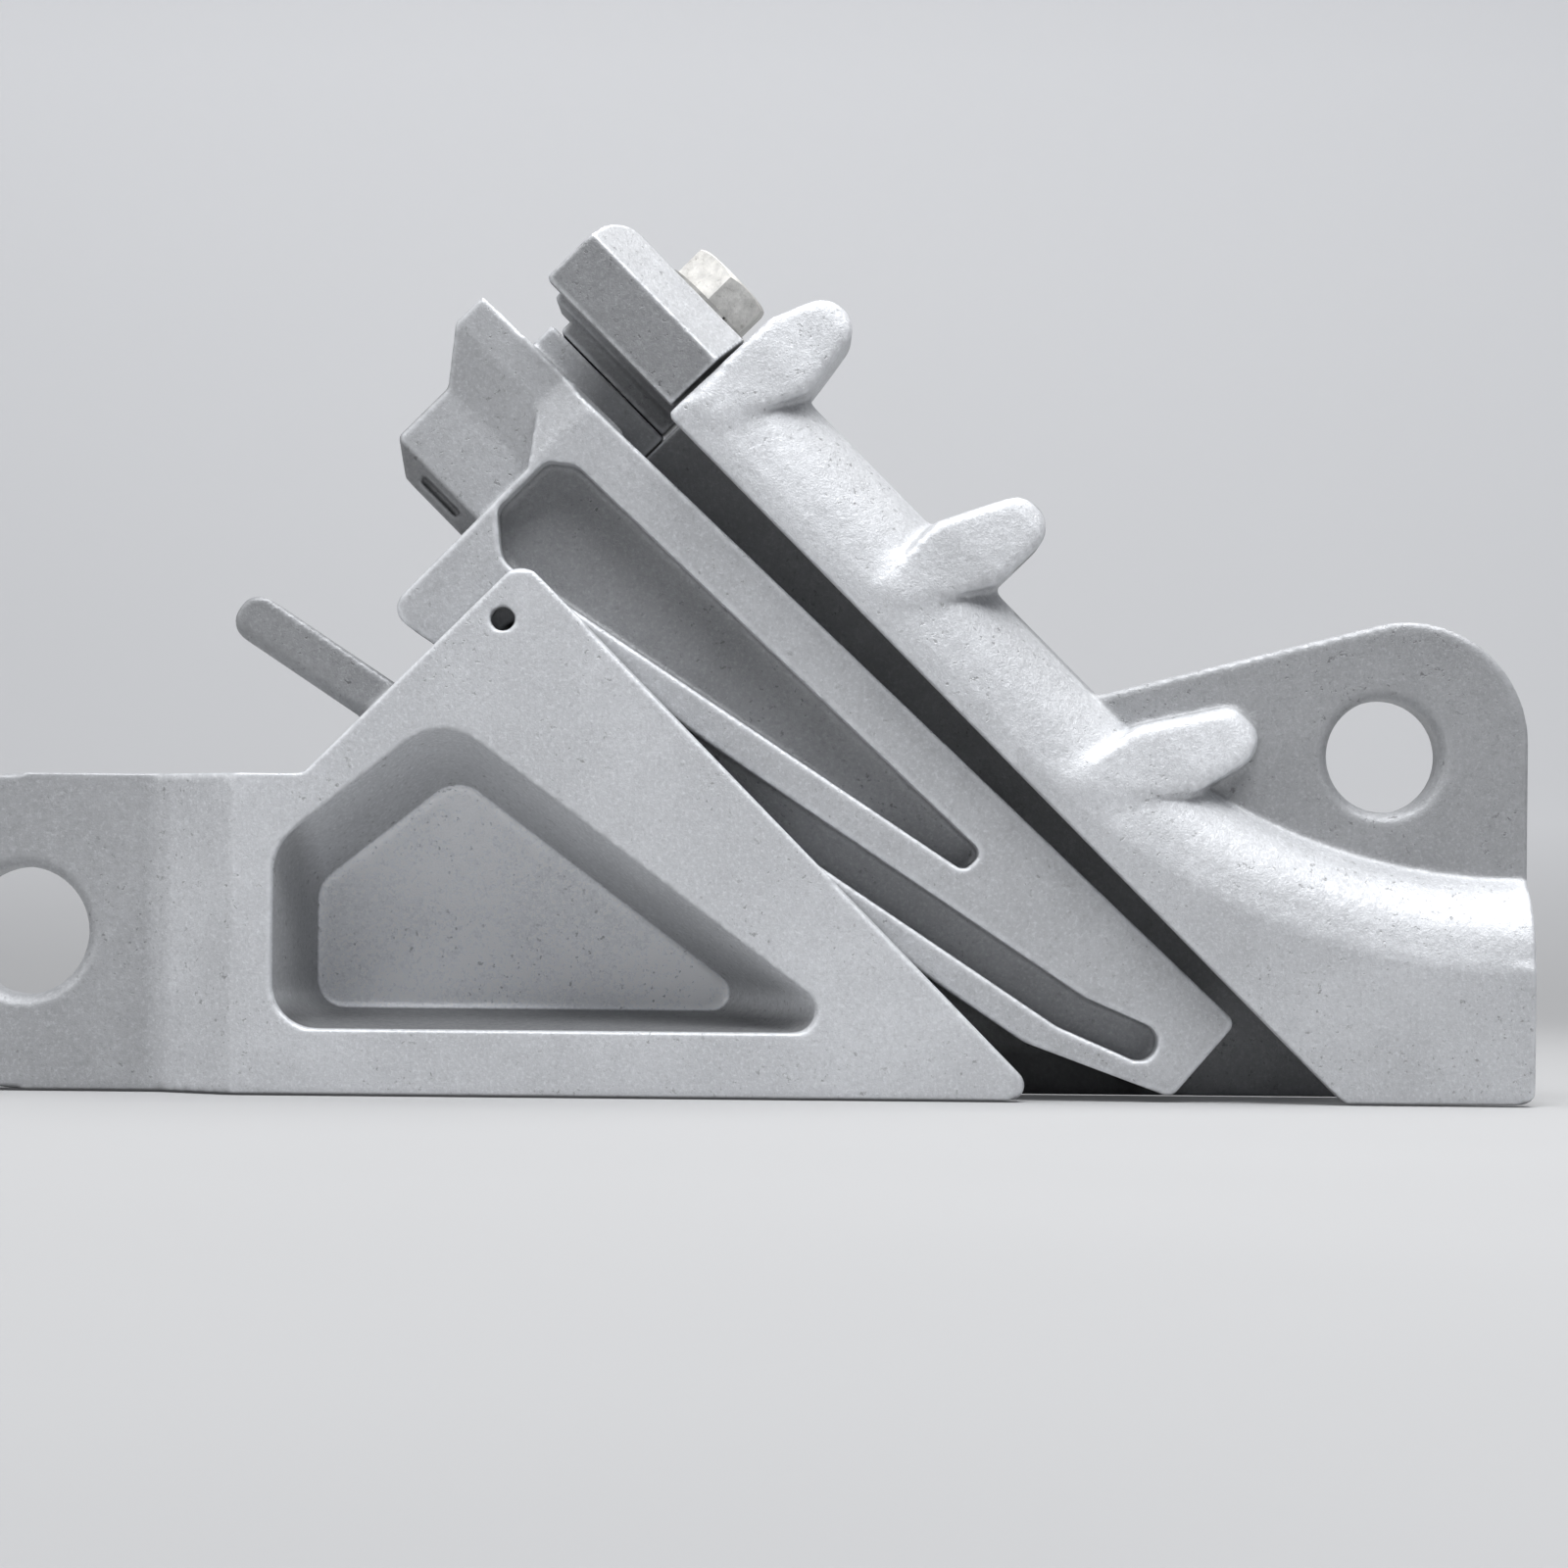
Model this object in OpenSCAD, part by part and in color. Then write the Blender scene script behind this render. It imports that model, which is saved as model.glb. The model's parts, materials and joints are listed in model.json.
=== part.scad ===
// Wedge strain clamp for overhead line conductors.
// The origin is the centre of the anchor eye. X runs along the base towards the outlet, Z is up.
// Slanted pieces are drawn in a tilted frame: u runs down the channel, v stands square to it.

/* [Anchor eye] */
// Diameter of the anchor eye bore
eye_bore_d = 26; // [18:0.5:32]
// Radius of the rounded eye end, which is half the height of the eye plate
eye_r = 32; // [29:0.5:36]
// Thickness of the eye plate
eye_t = 16; // [10:0.5:24]
// Width of the chamfer round each eye bore
bore_chamfer = 1.8; // [0.5:0.1:3]
// Distance from the eye to the foot of the sloped step
step_x = 27; // [24:0.5:30]
// Length of the sloped step from the eye plate out to the full width
step_l = 18; // [12:0.5:20]

/* [Body casting] */
// Full width of the body across the two side walls
body_w = 40; // [36:0.5:48]
// Thickness of each side wall
wall_t = 6.5; // [5:0.25:8]
// Slope of the conductor channel below the horizontal, in degrees
channel_angle = 45; // [42:0.5:48]
// Distance of the channel mouth from the eye, measured along the channel
mouth_u = 17.9; // [14:0.1:24]
// Height of the channel centreline above the ramp at the mouth, measured square to the channel
channel_rise = 80.7; // [74:0.1:88]
// Distance of the cheek's free edge from the eye, measured square to the channel
cheek_v = 123.4; // [116:0.2:128]
// Rise of the cheek's free edge from the ground up to its top corner
cheek_rise = 1.2; // [0:0.1:3]
// Depth of the front wall below the channel centreline
skirt_drop = 4; // [2:0.25:8]
// Height of the flat side band above the channel centreline
band = 1; // [0.6:0.1:2]
// Radius of the corner at the top of the cheek
apex_r = 4.5; // [2:0.5:8]
// Radius of the hollow corner between the eye plate and the cheek
neck_r = 3.5; // [2:0.5:12]
// Radius of the corners that touch the ground
toe_r = 3; // [1:0.5:4]

/* [Conductor channel] */
// Outer radius of the half-round channel shell
shell_r = 19.4; // [18.5:0.1:20]
// Radius of the bend from the slanted channel to the level outlet, at the centreline
bend_r = 138; // [122:1:150]
// Height of the outlet centreline above the ground
outlet_h = 26.8; // [21:0.2:30]
// Distance of the outlet face from the eye
outlet_x = 304.4; // [303:0.2:315]

/* [Ramp] */
// Slope of the wedge ramp below the horizontal, in degrees
ramp_angle = 33.5; // [32:0.25:35]
// Distance of the ramp surface from the eye, measured square to the ramp
ramp_n = 83.5; // [80:0.25:86]
// Thickness of the ramp bar
bar_t = 9.5; // [7:0.25:11]
// Width of the ramp bar
bar_w = 24; // [16:0.5:26]
// Length of the ramp bar that stands out of the mouth
bar_out = 35; // [15:0.5:42]
// Radius of the ramp bar's free end
bar_r = 4; // [2:0.25:4.5]
// Width of the chamfer along the ramp bar's lower edges
bar_chamfer = 2; // [0.5:0.25:3]

/* [Casting pocket] */
// Thickness of metal left behind the pocket
pocket_back = 8; // [5:0.5:14]
// Distance from the eye to the pocket's left edge
pocket_x = 51.5; // [49:0.5:56]
// Thickness of the rim below the pocket
pocket_sill = 13; // [9:0.5:16]
// Distance of the pocket's peak from the mouth, measured along the channel
pocket_peak = 10.9; // [8:0.1:14]
// Slope of the pocket's left roof, in degrees
pocket_rise = 38.3; // [34:0.1:42]
// Slope of the pocket's right roof, in degrees
pocket_fall = 36.8; // [35:0.1:39]
// Inward lean of the pocket's left wall over its depth
lean_left = 6.2; // [3:0.2:9]
// Inward lean of the pocket's lower wall over its depth
lean_sill = 3.5; // [1:0.1:5]
// Drop of the pocket's peak over its depth
lean_peak = 11.8; // [8:0.2:15]

/* [Pulling lug] */
// Diameter of the pulling lug bore
lug_bore_d = 23; // [16:0.5:28]
// Distance of the lug bore from the outlet face
lug_back = 29.3; // [26:0.1:34]
// Radius of the lug's outer corner
lug_r = 24.6; // [20:0.2:29]
// Height of the outer corner's centre above the lug bore
lug_lift = 2.6; // [0:0.1:5]
// Thickness of the pulling lug
lug_t = 14; // [8:0.5:18]
// Height of the lug bore above the outlet centreline
lug_rise = 43.2; // [40:0.2:50]
// Slope of the lug's upper edge, in degrees
lug_slope = 14.5; // [10:0.5:20]

/* [Horns] */
// Distance of each horn's root from the mouth, measured along the channel
horn_roots = [5.2, 56.6, 110.6];
// Lean of each horn's tip down the channel
horn_leans = [3.4, 8, 14.4];
// Radius of the horn tips
horn_r = 6; // [4:0.25:7]
// Reach of each horn from its middle, up and down the channel, at the shell's crown
horn_flare = 9; // [7:0.1:11]
// Height of the horn tip's centre above the channel centreline
horn_rise = 31.2; // [26:0.2:36]
// Height of the horn roots above the channel centreline
horn_foot = 1.6; // [1.2:0.1:4]
// Width of the horn tips across the channel
horn_w = 20; // [17:0.5:26]
// Reach of each horn from its middle, up and down the channel, at its root
root_r = 3; // [2:0.25:4]
// Overhang of the horn roots beyond each side of the body
horn_over = 0.6; // [0.2:0.1:1.5]

/* [Wedge] */
// Running clearance of the wedge at each side wall
side_gap = 0.3; // [0.2:0.05:0.6]
// Running clearance of the wedge's foot on the ramp
ramp_gap = 0.3; // [0.2:0.05:0.6]
// Distance from the mouth back to the wedge's end face
wedge_out = 12.8; // [11:0.2:16]
// Length of the nose beyond the point where the line of the side plates' lower edge meets the ground
nose_l = 7.9; // [5:0.1:11]
// Depth of the wedge's upper flank below the channel centreline, at its end face
flank_drop = 13.4; // [11:0.2:16]
// Rise of the upper flank against the channel, in degrees
flank_taper = 1.8; // [0.5:0.1:2.2]
// Lean of the wedge's upper end face, in degrees
end_lean = 0.6; // [0:0.1:6]
// Lean of the wedge's nose, in degrees
nose_lean = 4.4; // [0:0.1:6]
// Height of the wedge's side plates above the ramp
foot_h = 11.1; // [8:0.1:14]
// Thickness of the wedge's foot
foot_t = 14; // [8:0.5:20]
// Inset of the foot from the wedge's upper end
foot_in = 24; // [18:0.5:30]
// Inset of the foot from the heel of the nose
foot_back = 28; // [20:0.5:36]
// Clearance of the wedge's nose above the ground
nose_gap = 0.6; // [0.4:0.1:3]
// Slope of the nose's underside below the horizontal, in degrees
nose_angle = 20; // [14:0.1:24]
// Radius of the conductor groove
groove_r = 13.5; // [11:0.25:16]
// Depth of the conductor groove below the upper flank
groove_d = 3; // [1.5:0.1:4.5]
// Radius of the nose's upper corner
nose_r = 2; // [1:0.25:4]
// Radius of the nose's tip
tip_r = 2.5; // [1:0.25:4]
// Radius of the heel behind the nose
heel_r = 8; // [4:0.5:12]
// Radius of the wedge's lower corner at its upper end
end_r = 4; // [2:0.25:6]

/* [Wedge recesses] */
// Thickness of the web between the front and rear recesses
web_t = 11; // [6:0.5:16]
// Width of the rim between the upper flank and the upper recess
upper_rim = 10.5; // [7:0.1:13]
// Width of the lower slot
slot_w = 8.1; // [5:0.1:10]
// Width of the rim below the lower slot
lower_rim = 6.3; // [4:0.1:9]
// Width of the rib between the lower slot and the upper recess
mid_rib = 7.3; // [5:0.1:10]
// Width of the rim between the end face and the upper recess
end_rim = 1.6; // [1.2:0.1:5]
// Width of the upper recess at its tip
recess_tip = 5.4; // [4:0.1:8]
// Cut across the upper recess's lower corner
recess_cut = 6.2; // [4:0.1:9]
// Cut across the upper recess's upper corner
recess_shoulder = 4.6; // [3:0.1:7]
// Width of the rim between the lower slot's end and the upper flank
nose_rim = 10.8; // [9:0.1:13]
// Distance from the wedge's end face to the start of the lower slot
slot_start = 20; // [16:0.5:26]
// Distance from the slot's end back to its bend
slot_bend = 17.7; // [12:0.1:24]
// Turn of the slot's end from its straight run, in degrees
slot_turn = 11; // [6:0.5:16]

/* [Wedge head] */
// Length of the head beyond the wedge's end face
head_l = 31.4; // [26:0.1:38]
// Length of the head's neck beyond the wedge's end face
neck_l = 23.5; // [18:0.1:25]
// Height of the head from its underside to the top of its flange
head_h = 38; // [32:0.5:44]
// Thickness of the head's top flange
flange_t = 8.8; // [6:0.1:11]
// Height of the slope from the flange down to the neck
flange_slope = 10.3; // [7:0.1:13]
// Depth of the head's flange in front of the middle plane
flange_y = 10; // [8:0.25:12]
// Depth of the head's neck in front of the middle plane
neck_y = 7; // [5:0.25:9]
// Height of the chamfer along the neck's lower edge
neck_chamfer = 4.9; // [3:0.1:7]
// Rise of the head's top above the wedge's upper flank
head_rise = 1.2; // [0.4:0.1:3]
// Reach of the shoulder that joins the plates to the head
shoulder_l = 8; // [5:0.1:11]
// Height of the shoulder's straight end
shoulder_h = 7.4; // [5:0.1:10]
// Height of the shoulder's slope
shoulder_slope = 10.4; // [7:0.1:14]
// Length of the slit in the neck's lower chamfer
slit_l = 11.3; // [8:0.1:14]
// Width of the slit in the neck's lower chamfer
slit_w = 1.4; // [0.8:0.1:2]

/* [Keeper and bolt] */
// Thread diameter of the clamp bolt
bolt_d = 12; // [10:1:14]
// Width of the bolt head across its flats
bolt_af = 18; // [16:0.5:22]
// Height of the bolt head
bolt_head_h = 7.5; // [6:0.1:9]
// Length of the bolt below its head
bolt_l = 50; // [46:1:52]
// Thickness of the spring washer
washer_t = 2.5; // [1.5:0.1:3.5]
// Outer diameter of the spring washer
washer_d = 21; // [18:0.5:22]
// Distance of the bolt from the mouth, measured along the channel
bolt_u = 14.4; // [12:0.1:18]
// Width of the wedge's rear ear
ear_w = 20; // [18:0.5:24]
// Length of the wedge's rear ear along the channel
ear_l = 33; // [28:0.5:38]
// Height of the ear's seat above the channel groove's lip at the end face
ear_rise = 7.2; // [5:0.1:10]
// Depth of the rear ear below its seat
ear_h = 25; // [18:0.5:30]
// Gap between the ear and the mouth of the body when the wedge is driven home
stop_gap = 0.3; // [0.2:0.05:0.6]
// Length of the keeper along the channel
keeper_l = 35.7; // [30:0.1:40]
// Gap between the keeper and the channel mouth
keeper_gap = 1; // [0.8:0.1:3]
// Distance of the keeper's front face from the middle plane
keeper_y = 18; // [16:0.25:20]
// Thickness of the keeper above its seat on the ear
keeper_h = 24; // [21:0.25:28]
// Height of the keeper's front face
keeper_face = 12.7; // [8:0.1:16]
// Drop of the sloped band from the keeper's top to its front face
keeper_slope_h = 7.5; // [4:0.1:10]
// Depth of the sloped band from front to back
keeper_slope_w = 10.5; // [6:0.1:14]
// Radius of the keeper's upper corner
keeper_r = 5.5; // [2:0.25:8]
// Inset of the keeper's leg from its upper end
leg_inset = 5.5; // [2:0.1:9]
// Gap between the keeper's leg and its seat on the ear
seat_gap = 0.3; // [0.1:0.05:0.6]
// Radial clearance of the bolt in the keeper
keeper_bore_gap = 0.75; // [0.5:0.05:1.2]

/* [Locking screw] */
// Diameter of the tapped hole for the locking screw
screw_d = 5; // [4:0.1:7]
// Distance of the locking screw from the cheek's free edge
screw_in = 10; // [8:0.2:16]
// Distance of the locking screw from the mouth
screw_back = 6; // [4.5:0.1:12]

/* [Hidden] */
$fn = 64;
cast = "#b4b7bc";
cast_dark = "#a9acb1";
zinc = "#d4d4d0";
base_z = -eye_r;
half_w = body_w / 2;
slot_y = half_w - wall_t;
wedge_y = slot_y - side_gap;
outlet_z = base_z + outlet_h;
tunnel_r = slot_y;
past = 60;
skin = 0.01;
skim = 0.1;
fine_running_gap = 0.05;

// Points and lines in the tilted channel frame
function level(u, v) = [u * cos(channel_angle) + v * sin(channel_angle),
                        v * cos(channel_angle) - u * sin(channel_angle)];
function tilted(x, z) = [x * cos(channel_angle) - z * sin(channel_angle),
                         x * sin(channel_angle) + z * cos(channel_angle)];
wedge_angle = channel_angle - ramp_angle;
function above_ramp(u, h) = (ramp_n + h + u * sin(wedge_angle)) / cos(wedge_angle);
channel_v = round(10 * (above_ramp(mouth_u, 0) + channel_rise)) / 10;
function meet(p, a, q, b) = p + [cos(a), sin(a)]
    * ((q.x - p.x) * sin(b) - (q.y - p.y) * cos(b)) / sin(b - a);

// Outline with its corners rounded: each corner is [x, y, radius]
function unit(a) = a / norm(a);
function spot(c) = [c.x, c.y];
function fillet(a, b, c, r, n = 7) =
    let (p = unit(a - b), q = unit(c - b), half = acos(p * q) / 2,
         centre = b + unit(p + q) * r / sin(half),
         first = b + p * r / tan(half) - centre, last = b + q * r / tan(half) - centre,
         start = atan2(first.y, first.x), turn = atan2(last.y, last.x) - start,
         sweep = turn > 180 ? turn - 360 : turn < -180 ? turn + 360 : turn)
    [for (i = [0:n]) centre + r * [cos(start + sweep * i / n), sin(start + sweep * i / n)]];
function rounded(c) = let (n = len(c))
    [for (i = [0:n - 1])
        each c[i][2] == 0 ? [spot(c[i])]
            : fillet(spot(c[(i + n - 1) % n]), spot(c[i]), spot(c[(i + 1) % n]), c[i][2])];
function corner(p, r = 0) = [p.x, p.y, r];

// Bend of the channel, from the slanted run to the level outlet
turn_x = (channel_v - outlet_z * cos(channel_angle)) / sin(channel_angle);
bend_run = bend_r * tan(channel_angle / 2);
bend_x = turn_x + bend_run;
bend_u = tilted(turn_x, outlet_z).x - bend_run;
bend_top = [bend_x, outlet_z + bend_r];

// Corners that the outlines share
mouth_shoulder = [(mouth_u + eye_r * sin(channel_angle)) / cos(channel_angle), eye_r];
ramp_end_x = (ramp_n - base_z * cos(ramp_angle)) / sin(ramp_angle);
cheek_end_x = (cheek_v - base_z * cos(channel_angle)) / sin(channel_angle);
skirt_v = channel_v - skirt_drop;
skirt_end_x = (skirt_v - base_z * cos(channel_angle)) / sin(channel_angle);

module side(y0, y1) translate([0, y1, 0]) rotate([90, 0, 0]) linear_extrude(height = y1 - y0) children();
module slanted() rotate([0, channel_angle, 0]) children();
module along(u0, u1) translate([u0, 0, 0]) rotate([90, 0, 90]) linear_extrude(height = u1 - u0) children();

// Side outlines of the casting
module block_outline() polygon(rounded([
    [step_x, base_z, 0], [ramp_end_x, base_z, 0], corner(level(mouth_u, above_ramp(mouth_u, 0))),
    corner(mouth_shoulder, neck_r), [step_x, eye_r, 0]]));

module cheek_outline() polygon(rounded([
    [step_x, base_z, 0], [cheek_end_x, base_z, toe_r],
    corner(level(mouth_u, cheek_v + cheek_rise), apex_r),
    corner(mouth_shoulder, neck_r), [step_x, eye_r, 0]]));

module below_channel(points) difference() {
    polygon(rounded(concat(points, [[outlet_x, base_z, toe_r], [outlet_x, outlet_z + band, 0],
                    [bend_x, outlet_z + band, 0], corner(level(bend_u, channel_v + band)),
                    corner(level(mouth_u, channel_v + band))])));
    translate(bend_top) circle(r = bend_r - band, $fn = 180);
}

module back_outline()
    below_channel([corner(mouth_shoulder, neck_r), [step_x, eye_r, 0], [step_x, base_z, 0]]);

module skirt_outline()
    below_channel([corner(level(mouth_u, skirt_v)), [skirt_end_x, base_z, 0]]);

// Plan outline, which narrows from the full width to the eye plate
module plan_limit() translate([0, 0, base_z - past]) linear_extrude(height = 6 * past)
    polygon([[step_x - 1, -eye_t / 2], [step_x, -eye_t / 2], [step_x + step_l, -half_w - 1],
             [outlet_x + 1, -half_w - 1], [outlet_x + 1, half_w + 1], [step_x + step_l, half_w + 1],
             [step_x, eye_t / 2], [step_x - 1, eye_t / 2]]);

module eye_plate() side(-eye_t / 2, eye_t / 2) {
    circle(r = eye_r, $fn = 96);
    translate([0, -eye_r]) square([step_x + 2, 2 * eye_r]);
}

// Half-round run along the channel: straight, bend and level outlet, its arch in even steps
arch_steps = [0:7.5:180];
module channel_run(r, more) {
    slanted() along(mouth_u - more, bend_u) half_disc(r, channel_v);
    translate([bend_top.x, 0, bend_top.y]) rotate([90, 0, 0]) rotate([0, 0, -90]) mirror([0, 1, 0])
        rotate_extrude(angle = channel_angle, $fn = 180)
            polygon([for (a = arch_steps) [bend_r - r * sin(a), r * cos(a)]]);
    along(bend_x, outlet_x + more) half_disc(r, outlet_z);
}

module half_disc(r, z) polygon([for (a = arch_steps) [r * cos(a), z + r * sin(a)]]);

// Horn that wraps over the shell: narrow at its root, wide at the crown, with a round tip
function turned(p, a) = [p.x * cos(a) - p.y * sin(a), p.x * sin(a) + p.y * cos(a)];
function touch(c, p, way) = c + horn_r * turned(unit(p - c), way * acos(horn_r / norm(p - c)));
module horn(root, lean) slanted() intersection() {
    foot = [mouth_u + root, channel_v + horn_foot];
    tip = foot + [lean, horn_rise - horn_foot];
    crown = foot + [lean * (shell_r - horn_foot) / (horn_rise - horn_foot), shell_r - horn_foot];
    crown_up = crown - [horn_flare, 0];
    crown_down = crown + [horn_flare, 0];
    side(-half_w - 2 * horn_over, half_w + 2 * horn_over) {
        translate(tip) circle(r = horn_r, $fn = 48);
        polygon([foot - [root_r, 0], crown_up, touch(tip, crown_up, -1), tip,
                 touch(tip, crown_down, 1), crown_down, foot + [root_r, 0]]);
    }
    along(mouth_u, tip.x + horn_flare + horn_r)
        polygon(rounded([[half_w + horn_over, foot.y, 0], [horn_w / 2, tip.y + horn_r + skim, horn_r],
                         [-horn_w / 2, tip.y + horn_r + skim, horn_r], [-half_w - horn_over, foot.y, 0]]));
}

// Pulling lug over the outlet
lug_x = outlet_x - lug_back;
lug_z = outlet_z + lug_rise;
lug_in = tunnel_r / 2;
lug_corner = [outlet_x - lug_r, lug_z + lug_lift];
lug_top = lug_corner + lug_r * [-sin(lug_slope), cos(lug_slope)];
module lug() side(-lug_t / 2, lug_t / 2) intersection() {
    union() {
        translate(lug_corner) circle(r = lug_r, $fn = 96);
        polygon([lug_top, lug_top - past * [1, tan(lug_slope)], [lug_top.x - past, outlet_z],
                 [outlet_x, outlet_z], [outlet_x, lug_corner.y], lug_corner]);
    }
    translate(bend_top) circle(r = bend_r - lug_in, $fn = 180);
}

module bore(x, z, d, t) translate([x, 0, z]) rotate([90, 0, 0]) {
    cylinder(d = d, h = t + 2, center = true);
    for (side = [-1, 1]) translate([0, 0, side * t / 2]) mirror([0, 0, side < 0 ? 1 : 0])
        translate([0, 0, -bore_chamfer])
            cylinder(r1 = d / 2, r2 = d / 2 + 2 * bore_chamfer, h = 2 * bore_chamfer);
}

// Ramp bar, with its lower edges chamfered and its free end rounded
module ramp_bar() rotate([0, ramp_angle, 0]) intersection() {
    bar_end = tilted_ramp(level(mouth_u, above_ramp(mouth_u, 0))).x - bar_out;
    bar_root = bar_end + bar_out + bar_t;
    bar_under = ramp_n - bar_t;
    side(-bar_w / 2, bar_w / 2)
        polygon(rounded([[bar_end, bar_under, bar_r], [bar_root, bar_under, 0],
                         [bar_root, ramp_n, 0], [bar_end, ramp_n, bar_r]]));
    along(bar_end - 1, bar_root + 1)
        polygon([[-bar_w / 2 + bar_chamfer, bar_under], [bar_w / 2 - bar_chamfer, bar_under],
                 [bar_w / 2, bar_under + bar_chamfer], [bar_w / 2, ramp_n],
                 [-bar_w / 2, ramp_n], [-bar_w / 2, bar_under + bar_chamfer]]);
}
function tilted_ramp(p) = [p.x * cos(ramp_angle) - p.y * sin(ramp_angle),
                           p.x * sin(ramp_angle) + p.y * cos(ramp_angle)];

// Pocket in the block, with leaning walls
pocket_u = mouth_u + pocket_peak;
pocket_top = level(pocket_u, above_ramp(pocket_u, 0.5));
function pocket_corners(top, x, z, r) = [
    [x, z, r[0]], [top.x + (top.y - z) / tan(pocket_fall), z, r[1]],
    [top.x, top.y, r[2]], [x, top.y - (top.x - x) * tan(pocket_rise), r[3]]];
module pocket() hull() {
    side(-half_w - 1, -half_w)
        polygon(rounded(pocket_corners(pocket_top, pocket_x, base_z + pocket_sill, [9, 4.4, 12, 12])));
    side(half_w - pocket_back - skin, half_w - pocket_back)
        polygon(rounded(pocket_corners(pocket_top - [-1.1, lean_peak], pocket_x + lean_left,
                                       base_z + pocket_sill + lean_sill, [6, 4, 7, 6])));
}

screw_at = level(mouth_u + screw_back, cheek_v - screw_in);

module body() color(cast) difference() {
    union() {
        eye_plate();
        intersection() {
            union() {
                side(-slot_y, slot_y) block_outline();
                side(-half_w, -slot_y) cheek_outline();
                side(slot_y, half_w) back_outline();
            }
            plan_limit();
        }
        side(-half_w, -slot_y) skirt_outline();
        difference() {
            union() {
                channel_run(shell_r, 0);
                lug();
                for (i = [0:len(horn_roots) - 1]) horn(horn_roots[i], horn_leans[i]);
            }
            channel_run(tunnel_r, past);
        }
        ramp_bar();
    }
    pocket();
    bore(0, 0, eye_bore_d, eye_t);
    bore(lug_x, lug_z, lug_bore_d, lug_t);
    translate([screw_at.x, -half_w - 1, screw_at.y]) rotate([-90, 0, 0])
        cylinder(d = screw_d, h = wall_t + 2);
}

// Wedge outline, in the tilted frame
end_u = mouth_u - wedge_out;
flank_v = channel_v - flank_drop;
foot_meets_ground = ((base_z + nose_gap) / cos(channel_angle) - above_ramp(0, foot_h))
    / (tan(wedge_angle) - tan(channel_angle));
nose_u = foot_meets_ground + nose_l;
function flank(u, in) = flank_v + (u - end_u) * tan(flank_taper) - in / cos(flank_taper);
nose_top = [nose_u, flank(nose_u, 0)];
nose_tip = meet(nose_top, 90 + nose_lean, [0, (base_z + nose_gap) / cos(channel_angle)], channel_angle);
nose_heel = meet(nose_tip, channel_angle - nose_angle, [0, above_ramp(0, foot_h)], wedge_angle);
end_foot = meet([end_u, flank_v], 90 + end_lean, [0, above_ramp(0, foot_h)], wedge_angle);

module wedge_outline() polygon(rounded([
    [end_u, flank_v, 0], corner(nose_top, nose_r), corner(nose_tip, tip_r),
    corner(nose_heel, heel_r), corner(end_foot, end_r)]));

// Foot that bears on the ramp
module foot_outline() {
    first = end_foot.x + foot_in;
    last = nose_heel.x - foot_back;
    polygon([[first, above_ramp(first, foot_h + foot_t / 2)], [first, above_ramp(first, ramp_gap)],
             [last, above_ramp(last, ramp_gap)], [last, above_ramp(last, foot_h + foot_t / 2)]]);
}

// Long triangular recess above the rib, whose tip lies where its two long sides close in
recess_low = foot_h + lower_rim + slot_w + mid_rib;
module recess_outline() {
    left = end_u + end_rim;
    close = tan(wedge_angle) - tan(flank_taper);
    stop = (flank(0, upper_rim) - above_ramp(0, recess_low) - recess_tip) / close;
    top = flank(left, upper_rim);
    polygon(rounded([
        [left, above_ramp(left, recess_low) + 1.3 * recess_cut, recess_cut / 2],
        [left, top - recess_shoulder * 0.85, recess_shoulder / 2],
        [left + recess_shoulder, top, recess_shoulder],
        [stop, flank(stop, upper_rim), recess_tip * 0.4],
        [stop, above_ramp(stop, recess_low), recess_tip * 0.4],
        [left + 1.3 * recess_cut, above_ramp(left + recess_cut, recess_low), recess_cut]]));
}

// Slot that follows the lower flank and bends up into the nose, ending a rim short of the upper flank
module slot_outline() {
    low = foot_h + lower_rim;
    high = low + slot_w;
    rise = slot_bend * tan(slot_turn);
    close = tan(wedge_angle) - tan(flank_taper);
    first = end_u + slot_start;
    last = (flank(0, nose_rim) - above_ramp(0, high) - rise) / close;
    bend = last - slot_bend;
    polygon(rounded([
        [first, above_ramp(first, low), slot_w * 0.48], [bend, above_ramp(bend, low), slot_w * 0.75],
        [last, above_ramp(last, low) + rise, slot_w * 0.47],
        [last, above_ramp(last, high) + rise, slot_w * 0.47],
        [bend, above_ramp(bend, high), slot_w * 0.75], [first, above_ramp(first, high), slot_w * 0.48]]));
}

// Head: its flange slopes down to a narrower neck, whose lower edge is chamfered
head_u = end_u + shoulder_l;
head_top = flank_v + head_rise;
head_under = head_top - head_h;
flange_under = head_top - flange_t;
neck_top = flange_under - flange_slope;
neck_under = head_under + neck_chamfer;
module head_outline() polygon(rounded([
    [head_u, head_top, 0], [end_u - head_l, head_top, 2], [end_u - head_l, flange_under, 0],
    [end_u - neck_l, neck_top, 0], [end_u - neck_l, neck_under, 0],
    [end_u - neck_l + 1.3 * neck_chamfer, head_under, 0], [head_u, head_under, 0]]));
module head_section() polygon([
    [wedge_y, head_top], [-flange_y, head_top], [-flange_y, flange_under], [-neck_y, neck_top],
    [-neck_y, neck_under], [-neck_y + neck_chamfer, head_under], [wedge_y, head_under]]);
module head() intersection() {
    side(-flange_y, wedge_y) head_outline();
    along(end_u - head_l, head_u) head_section();
}

// Shoulder that joins the thick plates to the head
shoulder_v = flank_v - shoulder_h;
module shoulder_outline(reach) polygon([
    [head_u, flank_v], [end_u - reach, flank_v], [end_u - reach, shoulder_v],
    [end_u, shoulder_v - shoulder_slope], [head_u, shoulder_v - shoulder_slope]]);
module shoulder() {
    side(-flange_y, wedge_y) shoulder_outline(shoulder_l);
    hull() {
        side(-flange_y - skin, -flange_y) shoulder_outline(shoulder_l);
        side(-wedge_y, -wedge_y + skin) shoulder_outline(-side_gap);
    }
}

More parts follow.
